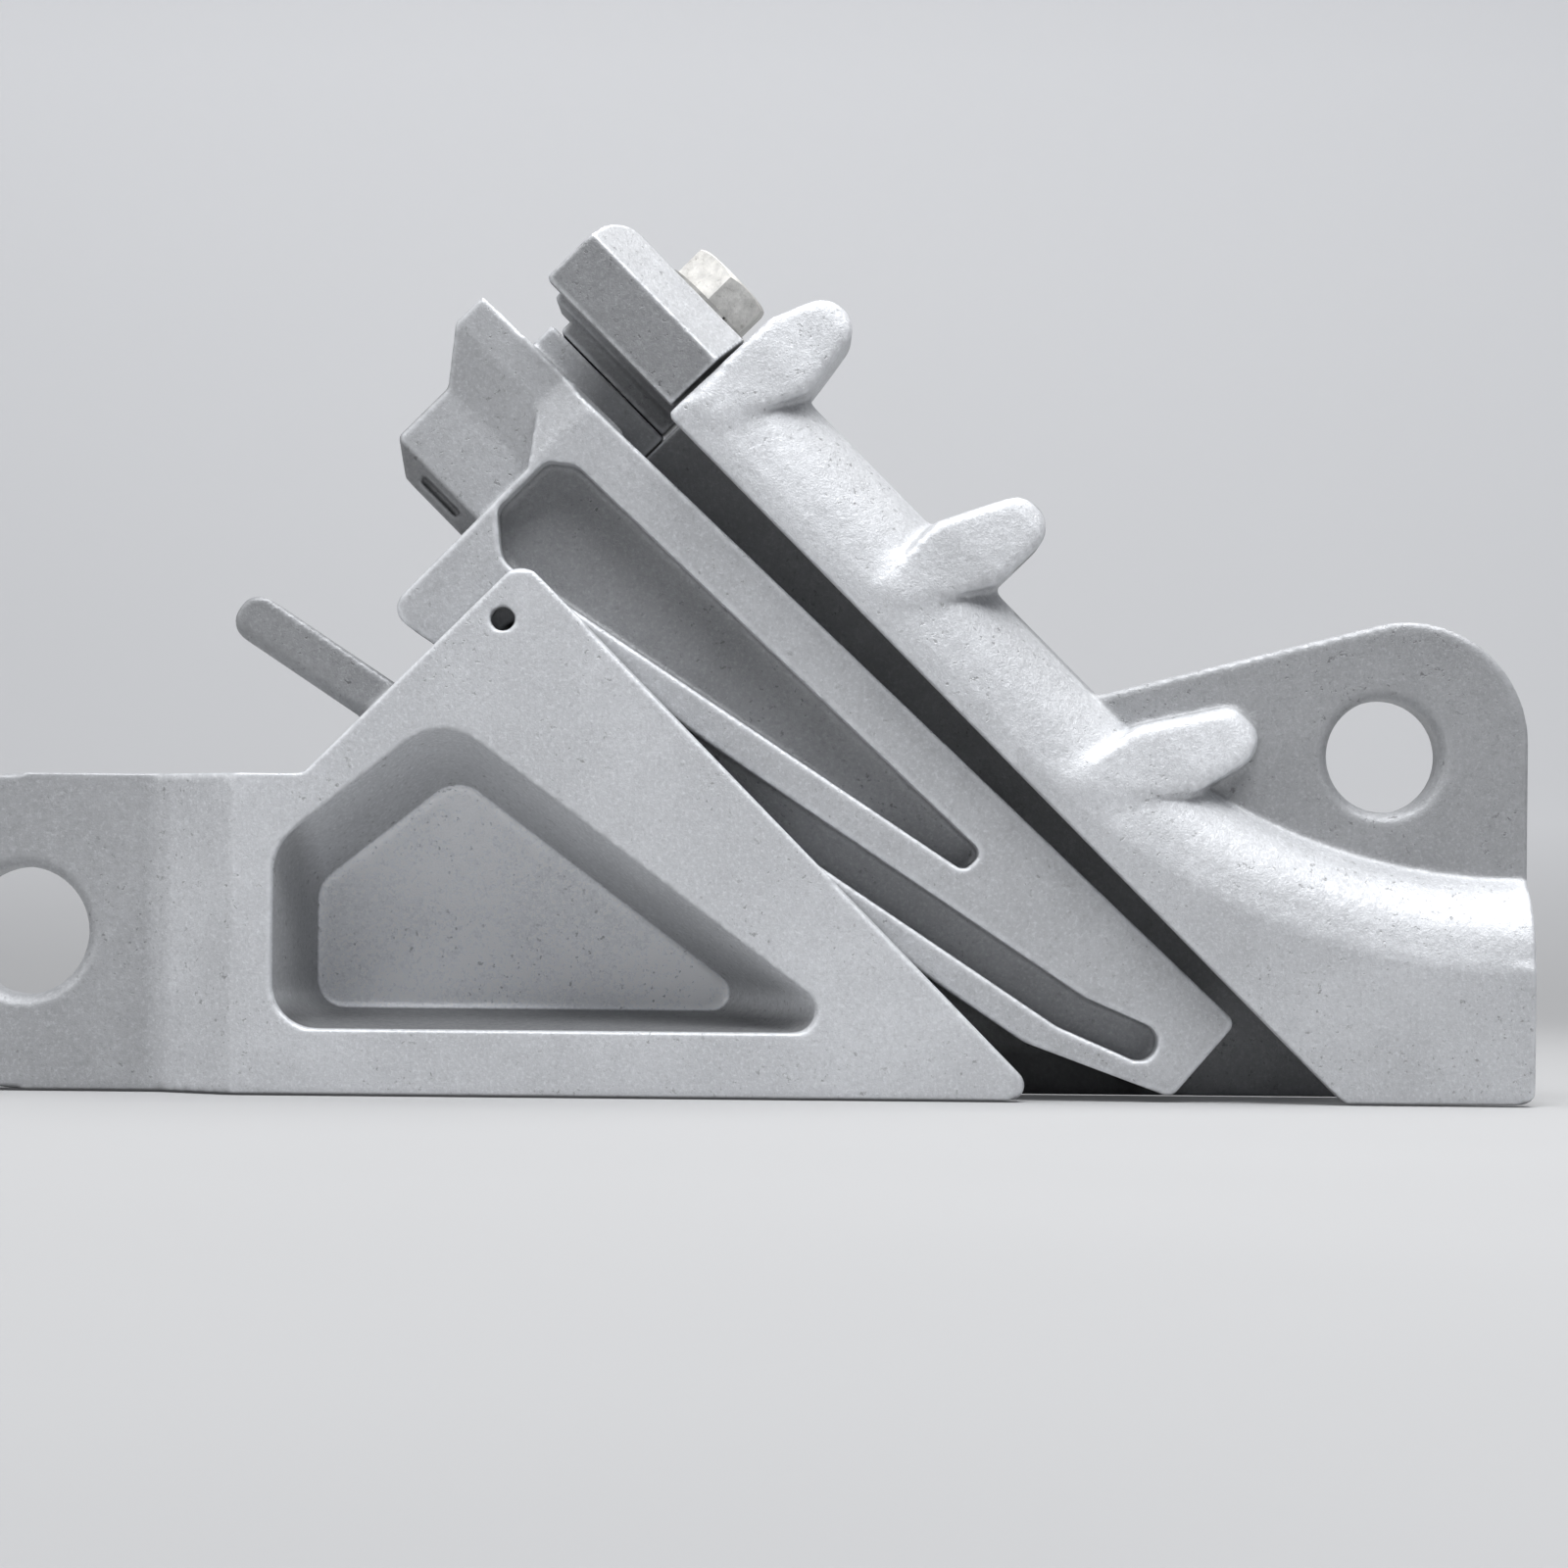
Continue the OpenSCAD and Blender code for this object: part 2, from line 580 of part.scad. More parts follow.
// Slit in the neck's lower chamfer
module slit() side(-flange_y, -neck_y + neck_chamfer)
    translate([end_u - neck_l + 1.8 * neck_chamfer, (neck_under + head_under - slit_w) / 2])
        square([slit_l, slit_w]);

// Rear ear that the bolt screws into
ear_end = mouth_u - stop_gap;
ear_top = flank_v + ear_rise;
ear_y = slot_y + side_gap;
bolt_y = ear_y + ear_w / 2;
module ear_outline(top) polygon(rounded([
    [ear_end, ear_top - ear_h, 4], [ear_end, top, 0], [ear_end - ear_l, top, 0],
    [ear_end - ear_l, ear_top - ear_h, 4]]));

module wedge() color(cast_dark) slanted() difference() {
    union() {
        side(-wedge_y, wedge_y) wedge_outline();
        side(-foot_t / 2, foot_t / 2) foot_outline();
        head();
        shoulder();
        side(ear_y, ear_y + ear_w) ear_outline(ear_top);
        side(wedge_y - 3, ear_y + 3) ear_outline(flank_v - groove_d);
    }
    for (face = [-1, 1]) {
        y0 = face < 0 ? -wedge_y - 1 : web_t / 2;
        y1 = face < 0 ? -web_t / 2 : wedge_y + 1;
        side(y0, y1) intersection() {
            union() {
                recess_outline();
                slot_outline();
            }
            if (face > 0) translate([mouth_u + end_r, 0]) square([nose_u, channel_v]);
        }
    }
    translate([end_u - past, 0, flank(end_u - past, 0) + groove_r - groove_d])
        rotate([0, 90 - flank_taper, 0]) cylinder(r = groove_r, h = nose_u + 2 * past, $fn = 96);
    slit();
    translate([mouth_u - bolt_u, bolt_y, ear_top - ear_h - 1])
        cylinder(d = bolt_d + 2 * fine_running_gap, h = ear_h + 2);
}

// Keeper that clamps the conductor on the wedge's head
keeper_u1 = mouth_u - keeper_gap;
keeper_u0 = keeper_u1 - keeper_l;
keeper_seat = ear_top + seat_gap;
keeper_top = keeper_seat + keeper_h;
keeper_lip = keeper_top - keeper_slope_h - keeper_face;
module keeper_section(low) difference() {
    polygon([[-keeper_y, keeper_lip], [-keeper_y, keeper_top - keeper_slope_h],
             [-keeper_y + keeper_slope_w, keeper_top], [ear_y + ear_w, keeper_top],
             [ear_y + ear_w, low], [ear_y, low], [ear_y, keeper_lip]]);
    translate([0, keeper_lip - 6]) circle(r = groove_r, $fn = 96);
}
module keeper() color(cast) slanted() difference() {
    union() {
        intersection() {
            along(keeper_u0, keeper_u1) keeper_section(keeper_lip);
            side(-keeper_y, ear_y + ear_w) polygon(rounded([
                [keeper_u0, keeper_lip, 0], [keeper_u1, keeper_lip, 0], [keeper_u1, keeper_top, 0],
                [keeper_u0, keeper_top, keeper_r]]));
        }
        along(keeper_u0 + leg_inset, keeper_u1) keeper_section(keeper_seat);
    }
    translate([mouth_u - bolt_u, bolt_y, keeper_seat - 1])
        cylinder(r = bolt_d / 2 + keeper_bore_gap, h = keeper_h + 2);
}

module spring_washer() color(zinc) slanted() translate([mouth_u - bolt_u, bolt_y, keeper_top])
    difference() {
        cylinder(d = washer_d, h = washer_t);
        translate([0, 0, -1]) cylinder(r = bolt_d / 2 + 0.15, h = washer_t + 2);
        rotate([0, 0, -60]) translate([bolt_d / 4, -0.6, -1]) cube([washer_d, 1.2, washer_t + 2]);
    }

// Hexagon bolt, with its thread drawn as a plain cylinder
module clamp_bolt() color(zinc) slanted()
    translate([mouth_u - bolt_u, bolt_y, keeper_top + washer_t]) {
        intersection() {
            rotate([0, 0, 90]) cylinder(d = bolt_af / cos(30), h = bolt_head_h, $fn = 6);
            cylinder(r1 = bolt_af / 2 + bolt_head_h * 1.7, r2 = bolt_af / 2 - 0.4, h = bolt_head_h);
        }
        translate([0, 0, 1.5 - bolt_l]) cylinder(d = bolt_d, h = bolt_l - 1.5 + skin);
        translate([0, 0, -bolt_l]) cylinder(d1 = bolt_d - 3, d2 = bolt_d, h = 1.5);
    }

body();
wedge();
keeper();
spring_washer();
clamp_bolt();
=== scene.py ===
import json
import math

import bpy
from mathutils import Matrix, Vector

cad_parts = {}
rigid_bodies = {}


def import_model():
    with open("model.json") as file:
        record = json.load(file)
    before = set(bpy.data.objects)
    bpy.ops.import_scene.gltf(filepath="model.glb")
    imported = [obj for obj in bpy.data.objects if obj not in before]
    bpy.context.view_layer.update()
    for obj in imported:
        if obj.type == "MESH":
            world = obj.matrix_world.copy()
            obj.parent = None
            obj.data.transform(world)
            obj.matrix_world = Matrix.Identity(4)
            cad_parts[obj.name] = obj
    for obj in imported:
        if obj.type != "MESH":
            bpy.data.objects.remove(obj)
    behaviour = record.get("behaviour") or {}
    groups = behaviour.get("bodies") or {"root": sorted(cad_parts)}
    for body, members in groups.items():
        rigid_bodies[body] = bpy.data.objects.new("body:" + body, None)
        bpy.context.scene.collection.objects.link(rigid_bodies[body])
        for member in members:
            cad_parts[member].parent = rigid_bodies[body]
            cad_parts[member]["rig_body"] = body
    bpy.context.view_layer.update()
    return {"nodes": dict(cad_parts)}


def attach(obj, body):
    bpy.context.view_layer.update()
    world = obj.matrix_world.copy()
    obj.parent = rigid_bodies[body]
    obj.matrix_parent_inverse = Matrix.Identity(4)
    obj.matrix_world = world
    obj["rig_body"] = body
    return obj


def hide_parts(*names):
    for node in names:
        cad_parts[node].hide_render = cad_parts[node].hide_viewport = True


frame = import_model()
nodes = frame["nodes"]
scene = bpy.context.scene

# Places on the parts, in metres, with the values of part.scad
GROUND = -0.032
SLOPE = math.radians(45.0)
RAMP = math.radians(33.5)
RAMP_N = 0.0835
MOUTH_U = 0.0179
CHANNEL_V = 0.1696
SHELL_R = 0.0194
TUNNEL_R = 0.0135
OUTLET_Z = -0.0052
BEND_R = 0.138
BEND_RUN = BEND_R * math.tan(SLOPE / 2)
TURN_X = (CHANNEL_V - OUTLET_Z * math.cos(SLOPE)) / math.sin(SLOPE)
BEND_X = TURN_X + BEND_RUN
BEND_U = (TURN_X - OUTLET_Z) * math.cos(SLOPE) - BEND_RUN
BEND_Z = OUTLET_Z + BEND_R
LUG_HALF = 0.007

# Where the masks of the materials' painted light and shade and of the softening end, in metres, just
# past the faces they cover
EDGE = 0.0003
TUNNEL_SKIN = TUNNEL_R + 0.0008
LUG_SKIN = LUG_HALF + 0.0008
LUG_X = 0.2
LEDGE_END_X = 0.301
BAR_Z = 0.0325
BAR_HALF = 0.0125
POCKET_X = 0.0505
POCKET_V = 0.1205
POCKET_Z = -0.0196
POCKET_MOUTH = 0.0188
POCKET_FLOOR = 0.0112
RECESS_FLOOR = 0.0066

# Places between which a painted tone of light or shade comes in, from none to all of it
EYE_X = (0.0305, 0.0245)
HEAD_U = (0.0065, 0.0035)
DEEP_Y = (-0.019, 0.009)
END_WALL_X = (0.0595, 0.0555)
SILL_Z = (-0.0125, -0.0165)
LOW_CORNER_X = (0.238, 0.226)
LOW_CORNER_Z = (-0.016, -0.024)
CROWN_HEIGHT = (0.006, 0.014)
CROWN_U = (BEND_U + 0.01, BEND_U - 0.02)
HORN_HEIGHT = (SHELL_R - 0.001, SHELL_R + 0.003)

# Softening of the horns as a share of the ledge's, and its rounds
HORN_SOFTNESS = 0.35
SOFT_ROUNDS = 50


def channel_height(p):
    """Height of a point above the channel's centreline."""
    u = (p.x - p.z) * math.cos(SLOPE)
    v = (p.x + p.z) * math.cos(SLOPE)
    if u < BEND_U:
        return v - CHANNEL_V
    return BEND_R - math.hypot(p.x - BEND_X, p.z - BEND_Z)


def ramp_up(value, low, high):
    """0 up to low, 1 from high, and straight between them."""
    return min(1.0, max(0.0, (value - low) / (high - low)))


def horn_softness(p):
    """1 on the shell's ledge, less on the horns, 0 on the lug, the walls and the mouth's edge."""
    height = channel_height(p)
    u = (p.x - p.z) * math.cos(SLOPE)
    beside_lug = ramp_up(abs(p.y), LUG_HALF + 0.0004, LUG_HALF + 0.0012)
    before_lug = ramp_up(LUG_X + 0.015, p.x, p.x + 0.003)
    horns = HORN_SOFTNESS * ramp_up(height, SHELL_R - 0.006, SHELL_R + 0.001)
    ledge = ramp_up(height, -0.005, 0.0) * ramp_up(0.011, height, height + 0.005)
    ledge *= ramp_up(LEDGE_END_X, p.x, p.x + 0.002)
    radius = math.hypot(p.y, max(height, 0.0))
    outer = ramp_up(radius, TUNNEL_R + 0.002, TUNNEL_R + 0.004)
    inward = ramp_up(u, MOUTH_U, MOUTH_U + 0.003)
    return max(horns, ledge) * max(beside_lug, before_lug) * outer * inward


def evaluated(piece):
    """The piece as its modifiers leave it."""
    bpy.context.view_layer.update()
    return piece.evaluated_get(bpy.context.evaluated_depsgraph_get())


def apply_modifiers(piece):
    """Give the piece the mesh that its modifiers make."""
    made = bpy.data.meshes.new_from_object(evaluated(piece))
    piece.modifiers.clear()
    piece.data = made


def add_smooth(piece, name, rounds):
    smooth = piece.modifiers.new(name, "SMOOTH")
    smooth.factor = 0.5
    smooth.iterations = rounds
    return smooth


def soften_places(piece, softness):
    """Smooth the places where softness says so, by its weight."""
    group = piece.vertex_groups.new(name="softer")
    for vertex in piece.data.vertices:
        weight = softness(vertex.co)
        if weight > 0:
            group.add([vertex.index], weight, "REPLACE")
    add_smooth(piece, "softer", SOFT_ROUNDS).vertex_group = "softer"
    apply_modifiers(piece)
    piece.vertex_groups.clear()


# Cast pieces: the CAD mesh copied, remeshed finely and softened, as cast edges are
def soften(name, voxel, rounds, keep, softness=None):
    source = nodes[name]
    piece = bpy.data.objects.new(name + "_cast", source.data.copy())
    scene.collection.objects.link(piece)
    piece.data.materials.clear()
    remesh = piece.modifiers.new("remesh", "REMESH")
    remesh.mode = "VOXEL"
    remesh.voxel_size = voxel
    add_smooth(piece, "smooth", rounds)
    thin = piece.modifiers.new("thin", "DECIMATE")
    thin.ratio = 1.0
    triangles = sum(len(p.vertices) - 2 for p in evaluated(piece).data.polygons)
    thin.ratio = min(1.0, keep / triangles)
    apply_modifiers(piece)
    if softness:
        soften_places(piece, softness)
    for polygon in piece.data.polygons:
        polygon.use_smooth = True
    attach(piece, source["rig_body"])
    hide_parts(name)
    return piece


VOXEL = 0.0008
ROUNDS = 4
body = soften("body", VOXEL, ROUNDS, 190000, horn_softness)
wedge = soften("wedge", VOXEL * 0.8, ROUNDS // 2, 170000)
keeper = soften("keeper", VOXEL * 0.7, ROUNDS, 60000)


# Tints of the colours
WHITE = (1.0, 1.0, 1.0)
COOL = (0.985, 1.0, 1.025)
WARM = (1.02, 1.0, 0.95)
RUSTY = (1.0, 0.95, 0.85)


def grey(value, tint=WHITE):
    return (value * tint[0], value * tint[1], value * tint[2], 1.0)


class Tree:
    """A material's nodes. The places x, y and z are in the piece's own axes, as at rest."""

    def __init__(self, name):
        self.material = bpy.data.materials.new(name)
        self.material.use_nodes = True
        self.nodes = self.material.node_tree.nodes
        self.links = self.material.node_tree.links
        self.shader = self.nodes["Principled BSDF"]
        self.place = self.add("ShaderNodeTexCoord").outputs["Object"]
        split = self.add("ShaderNodeSeparateXYZ")
        self.put(split.inputs[0], self.place)
        self.x, self.y, self.z = split.outputs

    def add(self, kind, **values):
        node = self.nodes.new(kind)
        for key, value in values.items():
            setattr(node, key, value)
        return node

    def put(self, socket, value):
        if isinstance(value, bpy.types.NodeSocket):
            self.links.new(value, socket)
        else:
            socket.default_value = value

    def shade(self, socket, value):
        self.put(self.shader.inputs[socket], value)

    def noise(self, scale, detail=4.0, rough=0.55):
        node = self.add("ShaderNodeTexNoise")
        self.put(node.inputs["Vector"], self.place)
        node.inputs["Scale"].default_value = scale
        node.inputs["Detail"].default_value = detail
        node.inputs["Roughness"].default_value = rough
        return node.outputs["Fac"]

    def span(self, value, low, high, to_low=0.0, to_high=1.0):
        """The value's place between low and high, kept between to_low and to_high."""
        node = self.add("ShaderNodeMapRange")
        self.put(node.inputs["Value"], value)
        node.inputs["From Min"].default_value = low
        node.inputs["From Max"].default_value = high
        node.inputs["To Min"].default_value = to_low
        node.inputs["To Max"].default_value = to_high
        return node.outputs["Result"]

    def maths(self, operation, a, b=0.0):
        node = self.add("ShaderNodeMath", operation=operation)
        self.put(node.inputs[0], a)
        self.put(node.inputs[1], b)
        return node.outputs[0]

    def plus(self, a, b):
        return self.maths("ADD", a, b)

    def minus(self, a, b):
        return self.maths("SUBTRACT", a, b)

    def times(self, a, b):
        return self.maths("MULTIPLY", a, b)

    def either(self, a, b):
        return self.maths("MAXIMUM", a, b)

    def length(self, a, b):
        return self.maths("SQRT", self.plus(self.times(a, a), self.times(b, b)))

    def mix(self, share, a, b, blend="MIX"):
        node = self.add("ShaderNodeMix", data_type="RGBA", blend_type=blend)
        self.put(node.inputs["Factor"], share)
        self.put(node.inputs["A"], a)
        self.put(node.inputs["B"], b)
        return node.outputs["Result"]

    def bump(self, height, strength, distance, normal=None):
        node = self.add("ShaderNodeBump")
        node.inputs["Strength"].default_value = strength
        node.inputs["Distance"].default_value = distance
        self.put(node.inputs["Height"], height)
        if normal:
            self.put(node.inputs["Normal"], normal)
        return node.outputs["Normal"]

    def facing(self, x, y, z):
        """1 where the surface looks this way, in the piece's own axes."""
        dot = self.add("ShaderNodeVectorMath", operation="DOT_PRODUCT")
        self.put(dot.inputs[0], self.add("ShaderNodeTexCoord").outputs["Normal"])
        dot.inputs[1].default_value = (x, y, z)
        return self.span(dot.outputs["Value"], 0.25, 0.45)

    def along(self, angle):
        """Distances down a slope of this angle and square to it, as in part.scad."""
        c = math.cos(angle)
        s = math.sin(angle)
        down = self.minus(self.times(self.x, c), self.times(self.z, s))
        square = self.plus(self.times(self.x, s), self.times(self.z, c))
        return down, square

    def over(self, value, limit):
        return self.span(value, limit - EDGE, limit + EDGE)

    def under(self, value, limit):
        return self.span(value, limit + EDGE, limit - EDGE)

    def every(self, *masks):
        result = masks[0]
        for mask in masks[1:]:
            result = self.times(result, mask)
        return result

    def tones(self, colour, levels):
        """Colour multiplied by each level where its mask is 1, as painted light and shade."""
        for mask, level in levels:
            colour = self.mix(mask, colour, grey(level), "MULTIPLY")
        return colour


def height_over_channel(t, u, v):
    """Height above the channel's centreline, as channel_height gives it for a point."""
    away = t.length(t.minus(t.x, BEND_X), t.minus(t.z, BEND_Z))
    height = t.add("ShaderNodeMix", data_type="FLOAT")
    t.put(height.inputs["Factor"], t.over(u, BEND_U))
    t.put(height.inputs["A"], t.minus(v, CHANNEL_V))
    t.put(height.inputs["B"], t.minus(BEND_R, away))
    return height.outputs["Result"]


def body_painted_shading(t, colour):
    """The tone of each place on the casting, as in the photo."""
    depth = t.maths("ABSOLUTE", t.y)
    u, v = t.along(SLOPE)
    square = t.along(RAMP)[1]
    height = height_over_channel(t, u, v)
    radius = t.length(t.y, t.either(height, 0.0))

    # The channel: its tunnel and the tunnel's low corner, the shell and its crown, the horns and the
    # lug; painted shade darkens the tunnel's inside, its low corner, the crown and the lug, and painted
    # light brightens the horns
    inside = t.every(
        t.under(radius, TUNNEL_SKIN),
        t.over(square, RAMP_N - 0.0005),
        t.over(u, MOUTH_U + 0.0004),
    )
    low_corner = t.every(inside, t.span(t.x, *LOW_CORNER_X), t.span(t.z, *LOW_CORNER_Z))
    arch = t.every(t.over(height, -0.0005), t.over(radius, TUNNEL_SKIN))
    crown = t.every(arch, t.span(height, *CROWN_HEIGHT), t.span(u, *CROWN_U))
    clear_of_lug = t.either(t.over(depth, LUG_SKIN), t.under(t.x, LUG_X))
    horn = t.every(arch, t.span(height, *HORN_HEIGHT), clear_of_lug)
    lug = t.every(t.under(depth, LUG_SKIN), t.over(height, SHELL_R - 0.001), t.over(t.x, LUG_X))

    # The plain walls, the eye plate and the bar; painted light brightens the cheek, and painted shade
    # darkens the eye plate and the bar
    plain = t.minus(1.0, t.either(arch, t.either(lug, inside)))
    cheek = t.every(plain, t.under(t.x, LUG_X))
    eye = t.span(t.x, *EYE_X)
    bar = t.every(t.under(u, MOUTH_U - 0.0004), t.over(t.z, BAR_Z), t.under(depth, BAR_HALF))

    # The pocket: its floor, with painted light, and its walls, with painted shade that darkens them
    # inwards, at the end wall and at the sill
    pocket = t.every(
        t.under(depth, POCKET_MOUTH),
        t.over(t.x, POCKET_X),
        t.under(v, POCKET_V),
        t.over(t.z, POCKET_Z),
        t.under(square, RAMP_N - 0.002),
        t.over(u, MOUTH_U + 0.003),
    )
    floor = t.every(pocket, t.over(t.y, POCKET_FLOOR))
    wall = t.every(pocket, t.under(t.y, POCKET_FLOOR))
    deep = t.every(wall, t.span(t.y, *DEEP_Y))
    end_wall = t.every(wall, t.span(t.x, *END_WALL_X))
    sill = t.every(wall, t.span(t.z, *SILL_Z))
    # Painted light and shade: levels above 1 paint light, levels below 1 paint shade
    return t.tones(colour, (
        (plain, 0.92),
        (cheek, 1.13),
        (inside, 0.62),
        (lug, 0.6),
        (eye, 0.68),
        (bar, 0.48),
        (floor, 1.34),
        (wall, 1.05),
        (deep, 0.7),
        (end_wall, 0.62),
        (sill, 0.36),
        (crown, 0.84),
        (horn, 1.15),
        (low_corner, 0.3),
    ))


def wedge_painted_shade(t, colour):
    """Painted shade: the recess floors are darker, and the head a little."""
    depth = t.maths("ABSOLUTE", t.y)
    recess = t.under(depth, RECESS_FLOOR)
    head = t.span(t.along(SLOPE)[0], *HEAD_U)
    return t.tones(colour, ((recess, 0.53), (head, 0.9)))


def keeper_painted_light(t, colour):
    """Painted light: the roof is paler than the front."""
    c = math.cos(SLOPE)
    return t.tones(colour, ((t.facing(c, 0.0, c), 1.4),))


def bolt_painted_light(t, colour):
    """Painted light and shade: the hexagon is paler on one side and darker on the other."""
    c = math.cos(SLOPE)
    return t.tones(colour, ((t.facing(-c, 0.0, c), 1.18), (t.facing(c, 0.0, -c), 0.76)))


def cast_metal(name, base, edge_highlight_base, grain, tones):
    t = Tree(name)
    # Broad mottling, patches, bright flecks and sandy darker grain
    mottle = t.span(t.noise(38.0, 5.0, 0.6), 0.32, 0.68)
    colour = t.mix(mottle, grey(base * 0.9, COOL), grey(base * 1.1, COOL))
    patch = t.span(t.noise(260.0, 4.0, 0.65), 0.3, 0.7)
    colour = t.mix(t.times(patch, 0.35), colour, grey(base * 0.82, COOL))
    fleck = t.span(t.noise(1300.0, 3.0, 0.7), 0.5, 0.72)
    colour = t.mix(t.times(fleck, 0.7 * grain), colour, grey(min(0.95, base * 1.4), COOL))
    sand = t.span(t.noise(950.0, 4.0, 0.75), 0.5, 0.3)
    colour = t.mix(t.times(sand, 0.5), colour, grey(base * 0.68, COOL))
    # Sparse dark casting pits
    dark = t.span(t.noise(760.0, 3.0, 0.6), 0.62, 0.7)
    rare = t.span(t.noise(60.0, 2.0, 0.5), 0.4, 0.58)
    pit = t.times(dark, rare)
    colour = t.mix(t.times(pit, 0.6), colour, grey(base * 0.3))
    # Painted highlight on the edges, bright where rounded edges would catch the light
    pointed = t.add("ShaderNodeNewGeometry").outputs["Pointiness"]
    edge_highlight = t.times(t.span(pointed, 0.508, 0.545), t.span(t.noise(420.0, 3.0, 0.6), 0.3, 0.6, 0.3, 1.0))
    colour = t.mix(edge_highlight, colour, grey(edge_highlight_base, COOL))
    # Painted shade in corners, gaps and hollows, from ambient occlusion
    hollow = t.add("ShaderNodeAmbientOcclusion", samples=8)
    hollow.inputs["Distance"].default_value = 0.005
    corner_shade = t.span(hollow.outputs["AO"], 0.66, 0.15)
    colour = t.mix(t.times(corner_shade, 0.7), colour, grey(base * 0.2, COOL))
    # The piece's painted light and shade go on last
    t.shade("Base Color", tones(t, colour))
    t.shade("Metallic", 0.4)
    t.shade("Roughness", t.span(t.noise(700.0, 3.0, 0.6), 0.3, 0.7, 0.46, 0.62))
    normal = t.bump(t.noise(2600.0, 3.0, 0.6), 0.35 * grain, 0.00025)
    normal = t.bump(t.noise(520.0, 3.0, 0.55), 0.3, 0.0004, normal)
    normal = t.bump(t.noise(70.0, 2.0, 0.5), 0.25, 0.0009, normal)
    t.shade("Normal", t.bump(t.minus(1.0, pit), 0.35, 0.0003, normal))
    return t.material


def zinc_metal(name, base, tones=None):
    t = Tree(name)
    spangle = t.span(t.noise(420.0, 5.0, 0.65), 0.35, 0.65)
    colour = t.mix(spangle, grey(base * 0.82, WARM), grey(base * 1.12, WARM))
    stain = t.span(t.noise(900.0, 3.0, 0.6), 0.6, 0.75)
    colour = t.mix(t.times(stain, 0.5), colour, grey(base * 0.4, RUSTY))
    # Painted light and shade, where the piece has them
    if tones:
        colour = tones(t, colour)
    t.shade("Base Color", colour)
    t.shade("Metallic", 0.6)
    t.shade("Roughness", t.span(t.noise(800.0, 3.0, 0.6), 0.3, 0.7, 0.34, 0.52))
    t.shade("Normal", t.bump(t.noise(1500.0, 3.0, 0.6), 0.3, 0.0003))
    return t.material


def give(piece, material):
    piece.data.materials.clear()
    piece.data.materials.append(material)


give(body, cast_metal("cast_body", 0.72, 0.9, 1.0, body_painted_shading))
give(wedge, cast_metal("cast_wedge", 0.62, 0.88, 0.8, wedge_painted_shade))
give(keeper, cast_metal("cast_keeper", 0.35, 0.75, 0.9, keeper_painted_light))
give(nodes["clamp_bolt"], zinc_metal("zinc_bolt", 0.76, bolt_painted_light))
give(nodes["spring_washer"], zinc_metal("zinc_washer", 0.5))
edge = nodes["clamp_bolt"].modifiers.new("edge", "BEVEL")
edge.width = 0.0005
edge.segments = 2
edge.limit_method = "ANGLE"
edge.angle_limit = math.radians(25)


# Pale studio sweep: a floor that curves up into a wall
SWEEP_HALF = 3.0
SWEEP_FRONT = -2.5
SWEEP_TURN = 0.7
SWEEP_R = 0.9
SWEEP_TOP = 2.6
SWEEP_STEPS = 24
WALL_LIGHT = 0.28


def sweep_mesh():
    profile = [(SWEEP_FRONT, 0.0)]
    for i in range(SWEEP_STEPS + 1):
        a = math.radians(90.0 * i / SWEEP_STEPS)
        profile.append((SWEEP_TURN + SWEEP_R * math.sin(a), SWEEP_R * (1 - math.cos(a))))
    profile.append((SWEEP_TURN + SWEEP_R, SWEEP_TOP))
    points = [(x, y, z) for x in (-SWEEP_HALF, SWEEP_HALF) for y, z in profile]
    n = len(profile)
    faces = [(i, n + i, n + i + 1, i + 1) for i in range(n - 1)]
    mesh = bpy.data.meshes.new("sweep")
    mesh.from_pydata(points, [], faces)
    for polygon in mesh.polygons:
        polygon.use_smooth = True
    return mesh


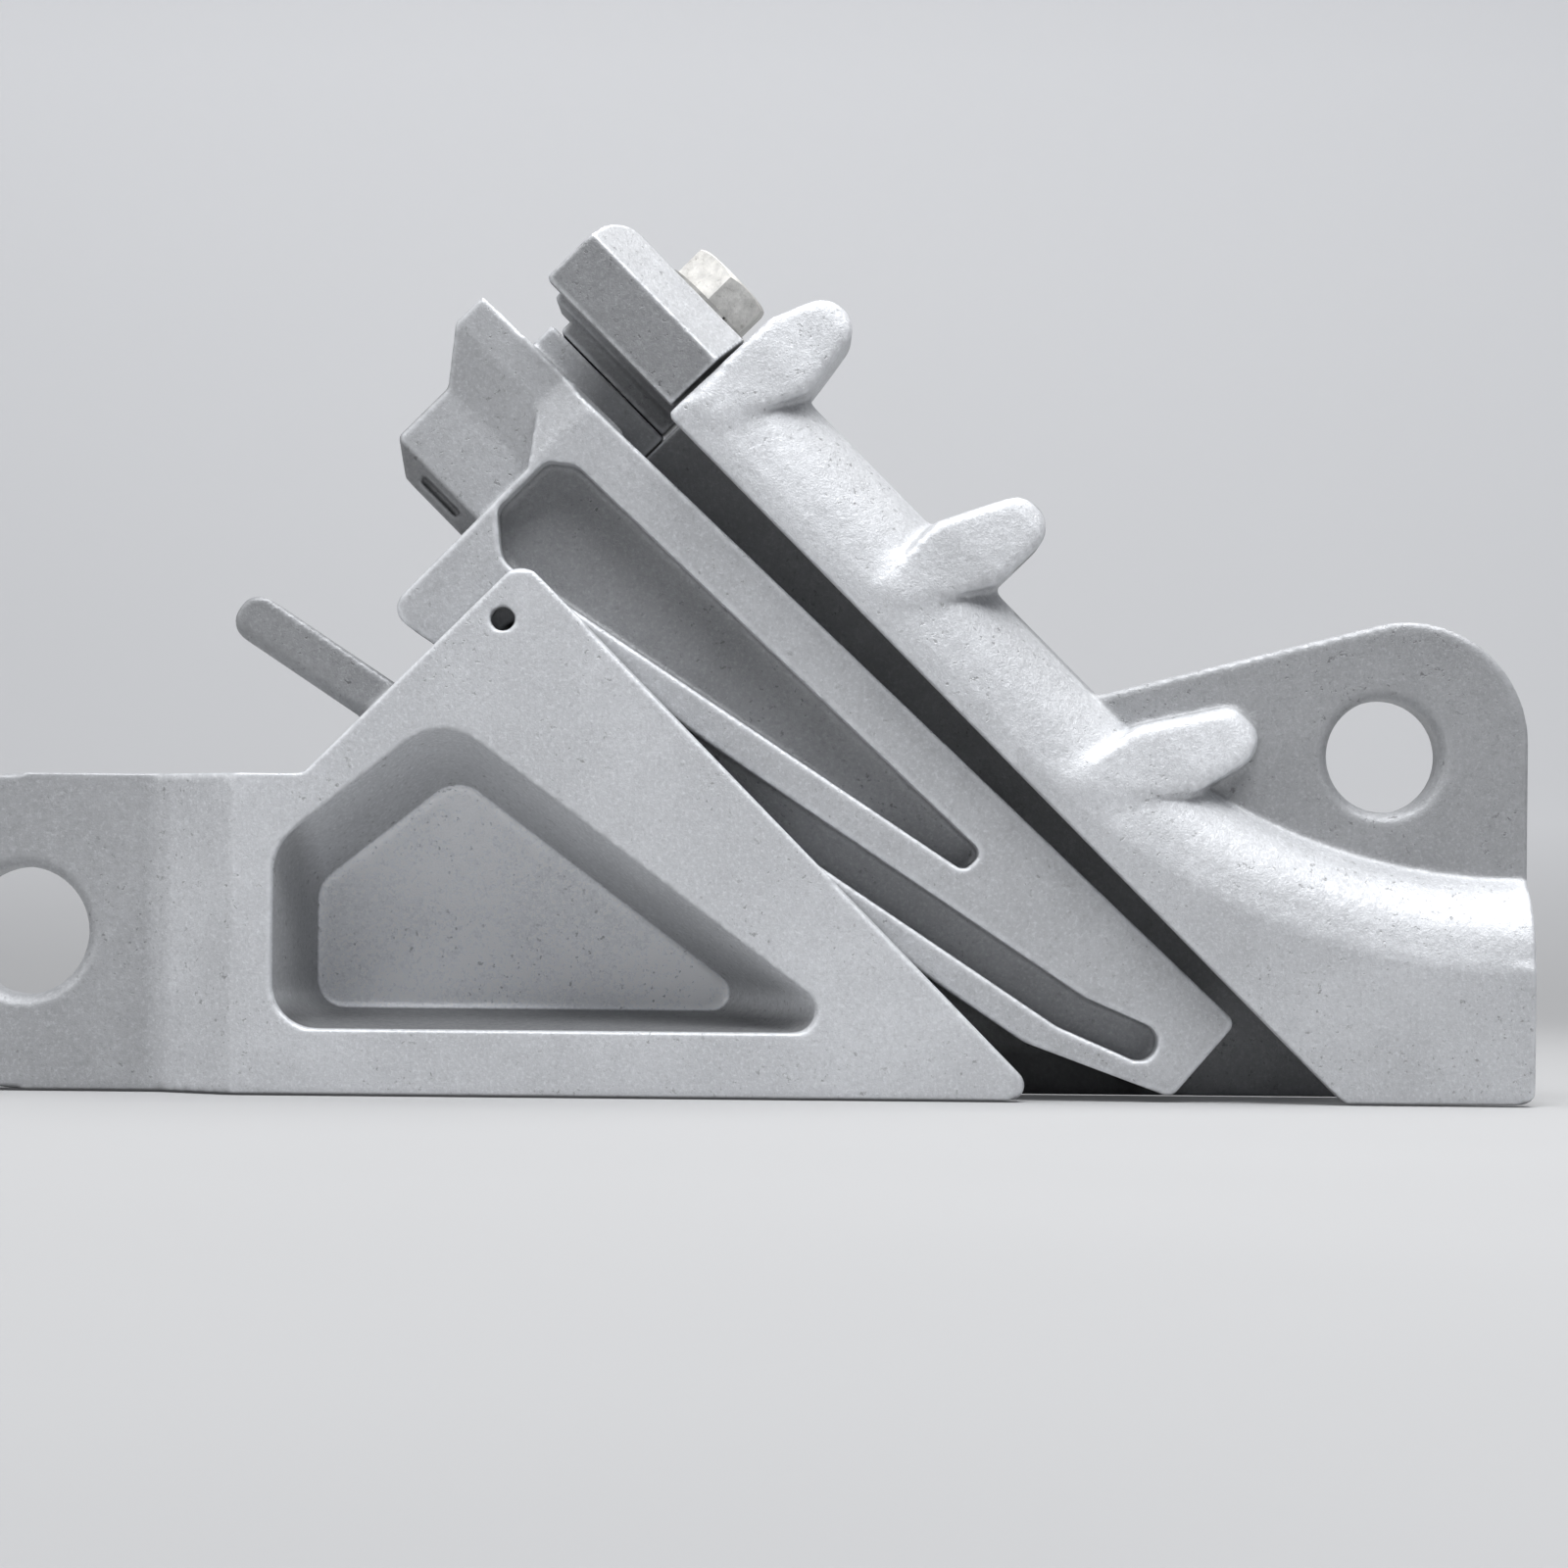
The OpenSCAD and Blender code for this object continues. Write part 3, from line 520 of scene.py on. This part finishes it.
def sweep_paint():
    """A grey floor and a paler wall, which glows a little where it is seen."""
    t = Tree("sweep")
    wash = t.span(t.noise(3.0, 2.0), 0.3, 0.7)
    floor = t.mix(wash, grey(0.46), grey(0.48))
    t.shade("Base Color", t.mix(t.span(t.z, 0.1, 0.5), floor, grey(0.85)))
    t.shade("Roughness", 0.9)
    path = t.add("ShaderNodeLightPath").outputs
    reflected = t.either(path["Is Glossy Ray"], path["Is Transmission Ray"])
    seen = t.either(path["Is Camera Ray"], reflected)
    t.shade("Emission Color", (0.93, 0.95, 1.0, 1.0))
    t.shade("Emission Strength", t.times(t.every(seen, t.span(t.z, -0.02, 0.08)), WALL_LIGHT))
    return t.material


sweep = bpy.data.objects.new("sweep", sweep_mesh())
scene.collection.objects.link(sweep)
sweep.location = (0.15, 0.0, GROUND - 0.0004)
sweep.data.materials.append(sweep_paint())

world = bpy.data.worlds.new("sky")
scene.world = world
world.use_nodes = True
back = world.node_tree.nodes["Background"]
back.inputs["Color"].default_value = (0.86, 0.9, 1.0, 1.0)
back.inputs["Strength"].default_value = 0.12

# Soft lamps, aimed at the middle of the clamp
AIM = Vector((0.15, 0.0, 0.04))


def lamp(name, at, size, power, colour=WHITE):
    data = bpy.data.lights.new(name, "AREA")
    data.shape = "RECTANGLE"
    data.size, data.size_y = size
    data.energy = power
    data.color = colour
    obj = bpy.data.objects.new(name, data)
    scene.collection.objects.link(obj)
    obj.location = at
    obj.rotation_euler = (AIM - Vector(at)).to_track_quat("-Z", "Y").to_euler()


lamp("key", (0.3, -0.55, 1.15), (0.9, 0.5), 15.0, (0.97, 0.98, 1.0))
lamp("top", (0.45, 0.25, 1.0), (0.8, 0.6), 6.5)
lamp("left", (-0.9, -0.5, 0.7), (0.5, 0.7), 3.0)

# Camera: level, in front of the middle plane, with the photo's slight roll
ROLL = math.radians(0.55)
AWAY = 0.9
SEEN_WIDTH = 0.32
PHOTO_PX = 1600.0
HORIZON_PX = 130.0
CAMERA_X = 0.15387
CAMERA_Z = 0.00534
view = bpy.data.cameras.new("camera")
view.sensor_width = 36.0
view.lens = view.sensor_width * AWAY / SEEN_WIDTH
view.shift_y = HORIZON_PX / PHOTO_PX
camera = bpy.data.objects.new("camera", view)
scene.collection.objects.link(camera)
camera.matrix_world = Matrix((
    (math.cos(ROLL), -math.sin(ROLL), 0.0, CAMERA_X),
    (0.0, 0.0, -1.0, -AWAY),
    (math.sin(ROLL), math.cos(ROLL), 0.0, CAMERA_Z),
    (0.0, 0.0, 0.0, 1.0),
))
scene.camera = camera
scene.view_settings.view_transform = "Standard"
